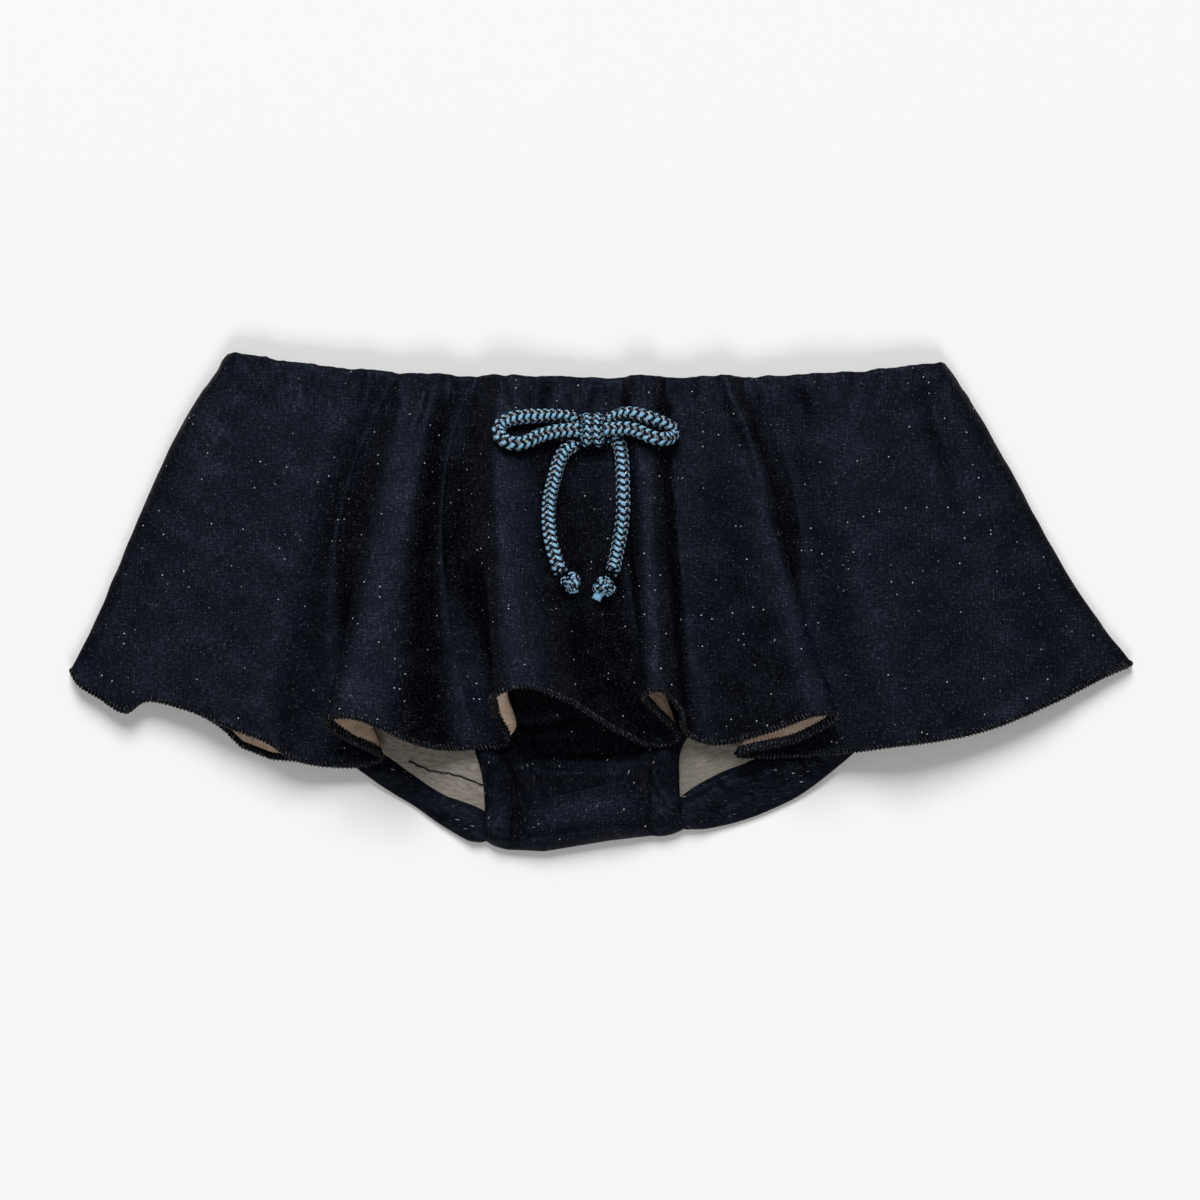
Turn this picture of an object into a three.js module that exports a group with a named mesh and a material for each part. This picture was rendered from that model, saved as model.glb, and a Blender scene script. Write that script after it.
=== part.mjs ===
// A toddler's skort laid flat, front up: a flared skirt over a brief, both cut from brushed
// sweatshirt knit, with a corded bow tacked to the front of the waist.
// Millimetres. +X is to the right seen from above, +Y towards the waist, +Z up off the surface.

import * as THREE from "three";

// Driving dimensions
const CLOTH = 1.6; // thickness of the knit
const GAP = 0.3; // clearance at seams and between layers
const SEAM = 0.4; // clearance along the brief's sloping seams
const FOLD_CLEARANCE = 1.2; // the gusset's extra clearance to the bands past the fold
const FOLD_STRETCH = 0.5; // how much thinner the cloth is where it is folded round the bottom
const LAYER = CLOTH + GAP; // rise from one flat layer to the next
const CASING = 1.6; // extra thickness where the top edge is turned over the elastic
const CASING_DEPTH = 0.1; // how far down the skirt the casing reaches, as a fraction
const CASING_STEP = 0.03; // the length over which it thins to a single layer
const CORD = 4.5; // diameter of the braided cord
const SIDE_SWING = 0.145; // how far each line swings out above its middle and in below it
const CENTRE_Y = 1.7; // the middle of the laid-out garment in the y used below
const SHELF = { from: -48.9, to: -60.0 }; // where the brief steps down past the back's hem

const FINISH = {
  navy: { color: 0x1d2233, roughness: 0.9, metalness: 0.0 },
  cord: { color: 0x7fb2d6, roughness: 0.7, metalness: 0.0 },
};

// The front of the skirt. Each row is a line that runs down the cloth from the waist to the
// hem: its x at the waist, half-way down and at the hem, its height at the waist, and the
// hem's own y and height. Flutes lean over, so the x of their rows turns back.
const FRONT_LINES = [
  // line          waistX  halfX   hemX   waistZ  hemY   hemZ
  ["left seam",    -113.0, -138.2, -158.3, 1.9, -20.6, 1.9],
  ["left roll",    -113.0, -138.2, -158.3, 3.6, -20.8, 3.6],
  ["left edge",    -111.2, -136.4, -155.6, 6.2, -25.2, 5.4],
  ["left corner",  -107.0, -131.8, -149.5, 7.4, -29.3, 6.0],
  ["corner lobe",   -102.6, -125.8, -141.1, 7.6, -34.2, 7.0],
  ["notch",          -97.4, -119.6, -135.2, 7.4, -30.8, 7.4],
  ["left panel",     -88.0, -109.0, -124.0, 7.6, -33.4, 9.0],
  ["left swell",     -79.0,  -99.5, -111.0, 8.0, -39.3, 10.8],
  ["left fall",      -71.5,  -90.5,  -99.6, 8.6, -44.1, 12.2],
  ["valley 1 in",    -66.0,  -84.5,  -90.0, 7.9, -49.5, 9.9],
  ["valley 1",       -61.5,  -80.5,  -73.7, 7.2, -50.9, 7.4],
  ["turn 1",         -60.0,  -78.0,  -64.8, 7.4, -49.2, 9.2],
  ["flute B under",  -58.6,  -74.6,  -74.6, 7.9, -45.0, 14.0],
  ["flute B lip",    -57.0,  -69.8,  -81.8, 8.8, -40.3, 21.4],
  ["flute B crest",  -53.0,  -61.4,  -73.0, 9.0, -39.9, 23.4],
  ["flute B slope",  -48.0,  -55.0,  -58.0, 9.2, -45.7, 21.5],
  ["flute B foot",   -43.5,  -50.6,  -46.5, 7.6, -46.2, 10.2],
  ["valley 2",       -39.5,  -47.6,  -36.0, 7.2, -45.4, 7.8],
  ["turn 2",         -37.6,  -46.2,  -28.4, 7.4, -44.6, 9.8],
  ["flute C wall",   -35.4,  -42.2,  -32.0, 8.0, -37.7, 16.5],
  ["flute C lip",    -32.2,  -34.0,  -31.2, 9.8, -35.4, 32.6],
  ["flute C crest",  -28.0,  -29.0,  -22.5, 10.0, -33.3, 34.8],
  ["flute C back",   -22.5,  -17.5,   -9.0, 9.6, -36.8, 31.5],
  ["flute C slope",  -16.0,   -9.5,    0.5, 8.4, -40.3, 20.5],
  ["flute C foot",    -9.5,   -2.0,    7.1, 8.0, -42.7, 14.0],
  ["valley 3",        -2.0,    6.0,   15.5, 7.2, -45.0, 7.8],
  ["turn 3",           6.4,    8.6,   22.3, 7.4, -43.2, 9.4],
  ["flute D wall",     7.4,    9.5,   16.0, 8.2, -37.4, 16.6],
  ["flute D lip",      8.8,   10.1,   12.2, 9.6, -34.2, 25.6],
  ["flute D crest",   12.4,   14.6,   17.0, 9.8, -32.6, 27.2],
  ["flute D fall",    15.6,   19.4,   23.6, 9.5, -38.0, 25.0],
  ["flute D foot",    18.2,   22.0,   26.0, 7.8, -42.0, 10.6],
  ["valley 4",        20.8,   24.6,   33.0, 7.2, -44.4, 9.0],
  ["flute E slope",   28.0,   37.6,   49.0, 7.8, -42.2, 14.8],
  ["flute E crest",   35.0,   48.4,   63.0, 9.2, -38.4, 20.2],
  ["flute E lip",     38.6,   53.9,   70.4, 9.4, -38.4, 19.0],
  ["flute E under",   40.6,   56.0,   60.0, 8.2, -44.0, 13.4],
  ["turn 5",          42.6,   58.0,   40.4, 7.4, -48.2, 9.0],
  ["valley 5",        46.0,   61.0,   52.0, 7.2, -48.0, 7.4],
  ["valley 5 out",    53.0,   66.5,   72.0, 7.6, -47.0, 9.2],
  ["right ridge",     64.0,   76.0,   90.0, 9.0, -45.5, 13.4],
  ["soft fold in",    74.0,   91.0,  103.4, 8.4, -43.2, 11.6],
  ["soft fold",       82.0,  101.5,  116.0, 7.8, -39.6, 9.4],
  ["right swell",     90.6,  112.4,  130.0, 7.8, -33.6, 8.6],
  ["right corner",   97.6,  121.8,  145.5, 7.4, -25.3, 5.6],
  ["right edge",    102.2,  127.6,  155.0, 6.2, -19.8, 4.8],
  ["right roll",    104.5,  129.9,  158.3, 3.6, -18.4, 3.4],
  ["right seam",    104.5,  129.9,  158.3, 1.9, -18.3, 1.9],
];

// The hem of the skirt's back, from side seam to side seam.
const BACK_HEM = [
  // x      y
  [-158.3, -20.6],
  [-147.0, -25.4],
  [-135.0, -28.4],
  [-121.0, -31.8],
  [-112.5, -36.6],
  [-107.0, -41.4],
  [-98.0, -44.8],
  [-86.0, -46.6],
  [-60.0, -47.6],
  [0.0, -47.8],
  [50.0, -46.2],
  [78.0, -43.6],
  [94.0, -42.4],
  [104.0, -40.0],
  [117.0, -37.0],
  [130.5, -31.2],
  [145.5, -23.8],
  [158.3, -18.3],
];

// The top edge sags between the two side tips; a higher power keeps its middle straighter.
const WAIST_MIDDLE_Y = 69.2;
const WAIST_TIPS = {
  left: { x: -113.0, y: 78.0, power: 3 },
  right: { x: 104.5, y: 75.0, power: 4 },
};

// Heights of the outer faces of the brief: its front's top, its back's underside, and the fold,
// where the front is lifted a little so that the cloth turns round loosely.
const FRONT_FACE = 2 * LAYER + CLOTH;
const BACK_FACE = LAYER;
const FOLD_FRONT = FRONT_FACE + 1.0;
const FOLD = (FOLD_FRONT + BACK_FACE) / 2;

// The sides of the brief from its waist seam down to where the leg bands begin.
const BRIEF_SIDES = [
  // y    leftX  rightX
  [56.6, -98.0, 90.4],
  [36.0, -95.5, 90.0],
  [14.0, -93.0, 88.5],
];
const WAIST_SAG = 7.0; // the brief's waist seam dips by this much in the middle

// A leg band is folded double and runs from the side seam down the front of the leg opening,
// under the crotch and back up. Each row has its sewn edge, its free edge and its height.
const LEFT_BAND = [
  // sewnX sewnY  freeX  freeY  face
  [-91.5, -1.0, -92.0, -8.6, FRONT_FACE],
  [-75.0, -7.5, -78.5, -14.4, FRONT_FACE],
  [-57.0, -16.0, -61.5, -22.2, FRONT_FACE],
  [-41.5, -26.5, -47.5, -31.2, FRONT_FACE],
  [-31.5, -38.0, -39.0, -41.4, FRONT_FACE],
  [-27.4, -50.0, -35.2, -51.6, FRONT_FACE],
  [-26.2, -62.6, -34.0, -62.0, FRONT_FACE],
  [-26.6, -72.2, -34.3, -70.0, FOLD_FRONT],
  [-27.0, -74.4, -34.4, -71.8, FOLD],
  [-27.2, -72.2, -35.0, -70.2, BACK_FACE],
  [-34.3, -63.4, -39.4, -69.0, BACK_FACE],
  [-46.2, -58.3, -47.0, -65.4, BACK_FACE],
  [-54.0, -53.4, -55.4, -60.0, BACK_FACE],
  [-64.0, -46.6, -67.4, -53.0, BACK_FACE],
  [-76.0, -38.0, -80.6, -43.6, BACK_FACE],
  [-86.0, -24.0, -92.4, -27.4, BACK_FACE],
  [-91.5, -6.0, -98.5, -9.0, BACK_FACE],
];
const RIGHT_BAND = [
  [87.0, -1.0, 87.6, -8.6, FRONT_FACE],
  [69.5, -7.0, 73.0, -13.8, FRONT_FACE],
  [50.0, -14.5, 54.0, -21.0, FRONT_FACE],
  [33.0, -24.0, 39.0, -29.0, FRONT_FACE],
  [21.0, -34.0, 28.5, -37.4, FRONT_FACE],
  [15.4, -44.0, 23.4, -45.2, FRONT_FACE],
  [14.5, -53.8, 22.8, -54.2, FRONT_FACE],
  [14.9, -68.6, 23.8, -66.6, FOLD_FRONT],
  [15.2, -70.8, 24.6, -68.6, FOLD],
  [15.5, -68.6, 25.2, -67.0, BACK_FACE],
  [23.6, -58.6, 31.2, -66.0, BACK_FACE],
  [34.0, -52.2, 40.6, -64.0, BACK_FACE],
  [46.0, -47.6, 53.0, -59.4, BACK_FACE],
  [58.0, -42.6, 65.6, -52.2, BACK_FACE],
  [70.0, -35.0, 78.0, -42.2, BACK_FACE],
  [80.5, -22.0, 88.0, -26.6, BACK_FACE],
  [86.5, -6.0, 93.6, -9.0, BACK_FACE],
];
const FRONT_SEAM = 6; // the row of the bands where the gusset meets the brief's front
const FOLD_ROW = 8; // the row at the tip of the bottom fold
const BACK_SEAM = 10; // the row where the gusset meets the brief's back
const PUFF = 3.2; // the crotch stands this far above its layer
const PUFF_Y = { from: -44, to: -53.5 }; // where it rises to that

// The bow. Points along each cord's centre line, from the bow's knot outwards.
const LOOP_LEFT = [
  [-6.9, 54.5, 11.3], [-10.5, 55.6, 11.9], [-15.3, 55.7, 13.0], [-20.1, 55.0, 14.8],
  [-24.6, 54.3, 16.1], [-28.1, 53.1, 16.7], [-30.2, 51.1, 17.2], [-30.5, 48.7, 17.8],
  [-28.6, 46.3, 18.4], [-25.4, 45.4, 18.3], [-22.2, 46.3, 17.4], [-18.5, 48.6, 15.8],
  [-13.2, 50.3, 15.0], [-6.9, 50.8, 14.9],
];
const LOOP_RIGHT = [
  [1.4, 54.4, 10.9], [3.8, 55.6, 11.5], [7.2, 56.3, 13.3], [10.9, 55.5, 14.9],
  [14.7, 54.3, 15.1], [19.0, 53.0, 13.3], [21.6, 51.8, 11.2], [20.7, 49.2, 12.2],
  [17.4, 47.7, 15.7], [13.9, 48.6, 16.3], [10.7, 50.2, 16.1], [7.5, 51.0, 15.7],
  [4.4, 51.0, 15.0], [1.4, 50.9, 14.7],
];
const TAIL_LEFT = [
  [-7.6, 47.4, 11.8], [-10.8, 44.7, 13.0], [-12.8, 40.1, 14.6], [-13.9, 35.2, 16.3],
  [-15.0, 30.2, 18.1], [-15.6, 24.1, 20.1], [-15.4, 18.1, 21.8], [-14.5, 12.4, 22.9],
  [-12.9, 6.9, 23.3], [-11.9, 4.3, 23.2],
];
const TAIL_RIGHT = [
  [3.4, 49.6, 10.1], [5.2, 48.0, 10.8], [6.2, 43.0, 12.5], [6.5, 37.2, 13.5], [6.6, 31.5, 13.7],
  [6.6, 26.3, 12.8], [6.1, 21.1, 11.2], [5.1, 15.7, 10.8], [4.0, 9.8, 12.0], [3.5, 6.9, 13.2],
];
const BOW_KNOT = { at: [-2.6, 51.5, 12.4], half: [3.4, 5.3, 4.0] };
const TAIL_KNOTS = {
  left: { at: [-8.9, 1.4, 22.3], half: [3.3, 3.2, 3.0] },
  right: { at: [1.0, 2.1, 14.9], half: [3.8, 3.2, 3.0] },
};
const TUBE_SIDES = 8;

// Small helpers
const mix = (a, b, t) => a + (b - a) * t;

function ease(from, to, value) {
  const t = Math.min(1, Math.max(0, (value - from) / (to - from)));
  return t * t * (3 - 2 * t);
}

function curve(points) {
  return new THREE.CatmullRomCurve3(points, false, "centripetal");
}

// y of the top edge at a given x.
function waistY(x) {
  const tip = x < 0 ? WAIST_TIPS.left : WAIST_TIPS.right;
  return mix(WAIST_MIDDLE_Y, tip.y, (x / tip.x) ** tip.power);
}

// y of the back's hem at a given x, straight between the rows of its table.
function backHemY(x) {
  const next = Math.max(1, BACK_HEM.findIndex(([rowX]) => rowX >= x));
  const [fromX, fromY] = BACK_HEM[next - 1];
  const [toX, toY] = BACK_HEM[next];
  return mix(fromY, toY, (x - fromX) / (toX - fromX));
}

// How much of the casing's extra thickness there is: none at the seams or below the casing.
function casing(down, across) {
  const edge = Math.min(across, 1 - across);
  return CASING * (1 - ease(0, CASING_STEP, down - CASING_DEPTH)) * ease(0.02, 0.08, edge);
}

// How far the layers of the brief step down towards the surface below the skirt's back.
function shelf(y) {
  return LAYER * ease(SHELF.from, SHELF.to, y);
}

// Equal steps from 0 to 1.
function steps(count) {
  return Array.from({ length: count + 1 }, (_, i) => i / count);
}

// Rows of points: place(down, across) for each step down a piece and each step across it.
function grid(downs, acrosses, place) {
  return downs.map((down) => acrosses.map((across) => place(down, across)));
}

// The other face of a wall: each point moved in along the normal of the outer face.
function inset(outer, thickness = () => CLOTH) {
  const lastRow = outer.length - 1;
  const lastColumn = outer[0].length - 1;
  return outer.map((row, r) =>
    row.map((point, c) => {
      const down = outer[Math.min(lastRow, r + 1)][c].clone().sub(outer[Math.max(0, r - 1)][c]);
      const across = row[Math.min(lastColumn, c + 1)].clone().sub(row[Math.max(0, c - 1)]);
      const normal = down.cross(across).normalize();
      return point.clone().addScaledVector(normal, -thickness(r, c));
    }),
  );
}

// A closed wall between an outer and an inner face, with its four edges.
function wall(outer, inner) {
  const rows = outer.length;
  const columns = outer[0].length;
  const positions = [...outer.flat(), ...inner.flat()].flatMap((p) => [p.x, p.y, p.z]);
  const out = (r, c) => r * columns + c;
  const back = (r, c) => rows * columns + out(r, c);
  const index = [];
  const quad = (a, b, c, d) => index.push(a, b, c, a, c, d);
  for (let r = 0; r + 1 < rows; r++) {
    for (let c = 0; c + 1 < columns; c++) {
      quad(out(r, c), out(r + 1, c), out(r + 1, c + 1), out(r, c + 1));
      quad(back(r, c), back(r, c + 1), back(r + 1, c + 1), back(r + 1, c));
    }
    quad(out(r, 0), back(r, 0), back(r + 1, 0), out(r + 1, 0));
    const last = columns - 1;
    quad(out(r + 1, last), back(r + 1, last), back(r, last), out(r, last));
  }
  for (let c = 0; c + 1 < columns; c++) {
    const last = rows - 1;
    quad(out(0, c + 1), back(0, c + 1), back(0, c), out(0, c));
    quad(out(last, c), back(last, c), back(last, c + 1), out(last, c + 1));
  }
  const geometry = new THREE.BufferGeometry();
  geometry.setAttribute("position", new THREE.Float32BufferAttribute(positions, 3));
  geometry.setIndex(index);
  geometry.computeVertexNormals();
  return geometry;
}

function piece(name, geometry, finish) {
  const mesh = new THREE.Mesh(geometry, new THREE.MeshStandardMaterial(FINISH[finish]));
  mesh.name = name;
  return mesh;
}

// x of one of the front's lines at a fraction of the way down.
function lineX([, waistX, halfX, hemX], down) {
  const bend = 4 * halfX - 2 * (waistX + hemX);
  const swing = SIDE_SWING * waistX * (1 - 2 * down);
  return mix(waistX, hemX, down) + (bend + swing) * down * (1 - down);
}

// The section of the skirt's front at one height runs smoothly through its lines.
function frontSection(down) {
  return curve(
    FRONT_LINES.map((row) => {
      const [, waistX, , , waistZ, hemY, hemZ] = row;
      const y = mix(waistY(waistX), hemY, down);
      return new THREE.Vector3(lineX(row, down), y, mix(waistZ, hemZ, down));
    }),
  );
}

// Rows of the skirt: close together where the casing ends, then equal steps to the hem.
const SKIRT_ROWS = [0, CASING_DEPTH / 2, CASING_DEPTH, CASING_DEPTH + CASING_STEP];
for (let row = 1; row <= 9; row++) SKIRT_ROWS.push(mix(CASING_DEPTH + CASING_STEP, 1, row / 9));

function skirtFront() {
  const columns = steps(2 * (FRONT_LINES.length - 1));
  const outer = SKIRT_ROWS.map((down) => {
    const section = frontSection(down);
    return columns.map((across) => section.getPoint(across));
  });
  const thickness = (r, c) => CLOTH + casing(SKIRT_ROWS[r], columns[c]);
  return piece("skirt_front", wall(outer, inset(outer, thickness)), "navy");
}

// The skirt's back lies flat on the surface, face down, as wide as the front at every height.
function skirtBack() {
  const sides = [FRONT_LINES[0], FRONT_LINES[FRONT_LINES.length - 1]];
  const face = (height) =>
    grid(SKIRT_ROWS, steps(30), (down, across) => {
      const [waistX, x, hemX] = [0, down, 1].map((at) => {
        return mix(lineX(sides[0], at), lineX(sides[1], at), across);
      });
      const y = mix(waistY(waistX), backHemY(hemX), down);
      return new THREE.Vector3(x, y, height(down, across));
    });
  const top = face((down, across) => CLOTH + casing(down, across));
  return piece("skirt_back", wall(top, face(() => 0)), "navy");
}

// A line along a leg band: share 0 is its sewn edge, 1 its free edge. row runs along the rows.
function bandLine(rows, share) {
  const line = curve(
    rows.map(([sewnX, sewnY, freeX, freeY, face]) => {
      return new THREE.Vector3(mix(sewnX, freeX, share), mix(sewnY, freeY, share), face);
    }),
  );
  return (row) => {
    const point = line.getPoint(row / (rows.length - 1));
    return point.setZ(Math.max(0, point.z - shelf(point.y)));
  };
}

const SEWN = { left: bandLine(LEFT_BAND, 0), right: bandLine(RIGHT_BAND, 0) };

// How thick the cloth is at a row of the bands, thinner round the bottom fold.
function foldThickness(row) {
  return CLOTH - FOLD_STRETCH * ease(2, 0.6, Math.abs(row - FOLD_ROW));
}

function legBand(name, rows, side) {
  const lines = [0, 0.5, 1].map((share) => bandLine(rows, share));
  const across = side < 0 ? [2, 1, 0] : [0, 1, 2];
  const last = rows.length - 1;
  const outer = grid(steps(3 * last), steps(2), (along, share) => lines[across[2 * share]](along * last));
  const thickness = (r) => foldThickness((r * last) / (outer.length - 1));
  return piece(name, wall(outer, inset(outer, thickness)), "navy");
}

// A point between the sewn edges of the two bands at one of their rows, clear of both.
function betweenBands(row, across, rise, clear = GAP) {
  const left = SEWN.left(row).add(new THREE.Vector3(clear, rise, 0));
  const right = SEWN.right(row).add(new THREE.Vector3(-clear, rise, 0));
  return left.lerp(right, across);
}

// The brief's front or back: down its sides, then down along the bands to the gusset.
function briefPanel(name, from, to, top, puff) {
  const sides = [1, 2].map((column) => {
    const corner = betweenBands(from, column - 1, SEAM).setZ(top);
    return curve([...BRIEF_SIDES.map((r) => new THREE.Vector3(r[column], r[0], top)), corner]);
  });
  const sideRows = 4;
  const bandRows = 11;
  const outer = grid(steps(sideRows + bandRows), steps(12), (down, across) => {
    const step = down * (sideRows + bandRows) - sideRows;
    const point =
      step < 0
        ? sides[0].getPoint(1 + step / sideRows).lerp(sides[1].getPoint(1 + step / sideRows), across)
        : betweenBands(mix(from, to, step / bandRows), across, SEAM);
    const middle = 4 * across * (1 - across);
    point.y -= WAIST_SAG * middle * (1 - down) ** 3;
    const swell = puff * middle * (2 - middle) * ease(PUFF_Y.from, PUFF_Y.to, point.y);
    return point.setZ(top - shelf(point.y) + swell);
  });
  return piece(name, wall(outer, inset(outer)), "navy");
}

// The gusset wraps round the bottom fold from the front seam to the back seam.
function gusset() {
  const outer = grid(steps(16), steps(8), (down, across) => {
    const clear = GAP + FOLD_CLEARANCE * ease(0.05, 0.4, down);
    const point = betweenBands(mix(FRONT_SEAM, BACK_SEAM, down), across, 0, clear);
    const middle = 4 * across * (1 - across);
    const swell = PUFF * middle * (2 - middle) * ease(0.6, 0.1, down);
    return point.setZ(point.z + swell);
  });
  const thickness = (r) => foldThickness(mix(FRONT_SEAM, BACK_SEAM, r / (outer.length - 1)));
  return piece("gusset", wall(outer, inset(outer, thickness)), "navy");
}

function cord(name, points) {
  const path = curve(points.map((point) => new THREE.Vector3(...point)));
  const section = new THREE.Shape();
  section.absarc(0, 0, CORD / 2, 0, 2 * Math.PI);
  const steps = Math.ceil(path.getLength() / (0.75 * CORD));
  const options = { steps, curveSegments: TUBE_SIDES, bevelEnabled: false, extrudePath: path };
  return piece(name, new THREE.ExtrudeGeometry(section, options), "cord");
}

function knot(name, { at, half }) {
  const geometry = new THREE.SphereGeometry(1, 14, 10).scale(...half);
  const mesh = piece(name, geometry, "cord");
  mesh.position.set(...at);
  return mesh;
}

const skort = new THREE.Group();
skort.add(skirtFront());
skort.add(skirtBack());
skort.add(briefPanel("brief_front", 0, FRONT_SEAM, FRONT_FACE, PUFF));
skort.add(briefPanel("brief_back", LEFT_BAND.length - 1, BACK_SEAM, BACK_FACE + CLOTH, 0));
skort.add(gusset());
skort.add(legBand("leg_band_left", LEFT_BAND, -1));
skort.add(legBand("leg_band_right", RIGHT_BAND, 1));
skort.add(cord("bow_loop_left", LOOP_LEFT));
skort.add(cord("bow_loop_right", LOOP_RIGHT));
skort.add(cord("bow_tail_left", TAIL_LEFT));
skort.add(cord("bow_tail_right", TAIL_RIGHT));
skort.add(knot("bow_knot", BOW_KNOT));
skort.add(knot("tail_knot_left", TAIL_KNOTS.left));
skort.add(knot("tail_knot_right", TAIL_KNOTS.right));

skort.position.y = -CENTRE_Y;

export default skort;
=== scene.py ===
"""Looks of a toddler's skort laid flat, front up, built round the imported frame.

Sizes are millimetres in the tables, with y as the CAD's tables have it, and metres in Blender.
"""

import math

import bpy
import numpy as np
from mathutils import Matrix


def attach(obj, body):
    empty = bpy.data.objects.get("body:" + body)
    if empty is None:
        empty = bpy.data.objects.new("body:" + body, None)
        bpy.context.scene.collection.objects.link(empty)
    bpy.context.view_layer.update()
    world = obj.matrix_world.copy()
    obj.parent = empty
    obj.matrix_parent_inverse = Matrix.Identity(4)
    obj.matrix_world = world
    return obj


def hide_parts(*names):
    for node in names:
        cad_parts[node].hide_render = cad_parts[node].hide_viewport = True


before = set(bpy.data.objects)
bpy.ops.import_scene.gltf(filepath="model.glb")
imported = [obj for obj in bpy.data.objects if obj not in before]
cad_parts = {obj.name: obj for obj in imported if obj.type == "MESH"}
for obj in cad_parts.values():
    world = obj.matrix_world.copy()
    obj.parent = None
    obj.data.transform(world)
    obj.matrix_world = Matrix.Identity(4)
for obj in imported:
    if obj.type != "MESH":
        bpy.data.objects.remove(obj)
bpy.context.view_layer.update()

# Driving dimensions, as the CAD has them
CLOTH = 1.6
GAP = 0.3
SEAM_LOOK = -0.2  # sewn pieces overlap by this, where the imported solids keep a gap
FOLD_STRETCH = 0.5
LAYER = CLOTH + GAP
SHELL = 1.15  # the skirt front as it looks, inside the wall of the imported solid
CASING = 1.6
CASING_DEPTH = 0.1
CASING_STEP = 0.03
CORD = 4.5
SIDE_SWING = 0.145
CENTRE_Y = 1.7
SHELF_FROM, SHELF_TO = -48.9, -60.0

# Lines that run down the skirt's front: x at the waist, half-way down and at the hem, height
# at the waist, and the hem's own y and height.
FRONT_LINES = [
    ("left seam", -113.0, -138.2, -158.3, 1.9, -20.6, 1.9),
    ("left roll", -113.0, -138.2, -158.3, 3.6, -20.8, 3.6),
    ("left edge", -111.2, -136.4, -155.6, 6.2, -25.2, 5.4),
    ("left corner", -107.0, -131.8, -149.5, 7.4, -29.3, 6.0),
    ("corner lobe", -102.6, -125.8, -141.1, 7.6, -34.2, 7.0),
    ("notch", -97.4, -119.6, -135.2, 7.4, -30.8, 7.4),
    ("left panel", -88.0, -109.0, -124.0, 7.6, -33.4, 9.0),
    ("left swell", -79.0, -99.5, -111.0, 8.0, -39.3, 10.8),
    ("left fall", -71.5, -90.5, -99.6, 8.6, -44.1, 12.2),
    ("valley 1 in", -66.0, -84.5, -90.0, 7.9, -49.5, 9.9),
    ("valley 1", -61.5, -80.5, -73.7, 7.2, -50.9, 7.4),
    ("turn 1", -60.0, -78.0, -64.8, 7.4, -49.2, 9.2),
    ("flute B under", -58.6, -74.6, -74.6, 7.9, -45.0, 14.0),
    ("flute B lip", -57.0, -69.8, -81.8, 8.8, -40.3, 21.4),
    ("flute B crest", -53.0, -61.4, -73.0, 9.0, -39.9, 23.4),
    ("flute B slope", -48.0, -55.0, -58.0, 9.2, -45.7, 21.5),
    ("flute B foot", -43.5, -50.6, -46.5, 7.6, -46.2, 10.2),
    ("valley 2", -39.5, -47.6, -36.0, 7.2, -45.4, 7.8),
    ("turn 2", -37.6, -46.2, -28.4, 7.4, -44.6, 9.8),
    ("flute C wall", -35.4, -42.2, -32.0, 8.0, -37.7, 16.5),
    ("flute C lip", -32.2, -34.0, -31.2, 9.8, -35.4, 32.6),
    ("flute C crest", -28.0, -29.0, -22.5, 10.0, -33.3, 34.8),
    ("flute C back", -22.5, -17.5, -9.0, 9.6, -36.8, 31.5),
    ("flute C slope", -16.0, -9.5, 0.5, 8.4, -40.3, 20.5),
    ("flute C foot", -9.5, -2.0, 7.1, 8.0, -42.7, 14.0),
    ("valley 3", -2.0, 6.0, 15.5, 7.2, -45.0, 7.8),
    ("turn 3", 6.4, 8.6, 22.3, 7.4, -43.2, 9.4),
    ("flute D wall", 7.4, 9.5, 16.0, 8.2, -37.4, 16.6),
    ("flute D lip", 8.8, 10.1, 12.2, 9.6, -34.2, 25.6),
    ("flute D crest", 12.4, 14.6, 17.0, 9.8, -32.6, 27.2),
    ("flute D fall", 15.6, 19.4, 23.6, 9.5, -38.0, 25.0),
    ("flute D foot", 18.2, 22.0, 26.0, 7.8, -42.0, 10.6),
    ("valley 4", 20.8, 24.6, 33.0, 7.2, -44.4, 9.0),
    ("flute E slope", 28.0, 37.6, 49.0, 7.8, -42.2, 14.8),
    ("flute E crest", 35.0, 48.4, 63.0, 9.2, -38.4, 20.2),
    ("flute E lip", 38.6, 53.9, 70.4, 9.4, -38.4, 19.0),
    ("flute E under", 40.6, 56.0, 60.0, 8.2, -44.0, 13.4),
    ("turn 5", 42.6, 58.0, 40.4, 7.4, -48.2, 9.0),
    ("valley 5", 46.0, 61.0, 52.0, 7.2, -48.0, 7.4),
    ("valley 5 out", 53.0, 66.5, 72.0, 7.6, -47.0, 9.2),
    ("right ridge", 64.0, 76.0, 90.0, 9.0, -45.5, 13.4),
    ("soft fold in", 74.0, 91.0, 103.4, 8.4, -43.2, 11.6),
    ("soft fold", 82.0, 101.5, 116.0, 7.8, -39.6, 9.4),
    ("right swell", 90.6, 112.4, 130.0, 7.8, -33.6, 8.6),
    ("right corner", 97.6, 121.8, 145.5, 7.4, -25.3, 5.6),
    ("right edge", 102.2, 127.6, 155.0, 6.2, -19.8, 4.8),
    ("right roll", 104.5, 129.9, 158.3, 3.6, -18.4, 3.4),
    ("right seam", 104.5, 129.9, 158.3, 1.9, -18.3, 1.9),
]
LINES = np.array([row[1:] for row in FRONT_LINES])

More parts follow.
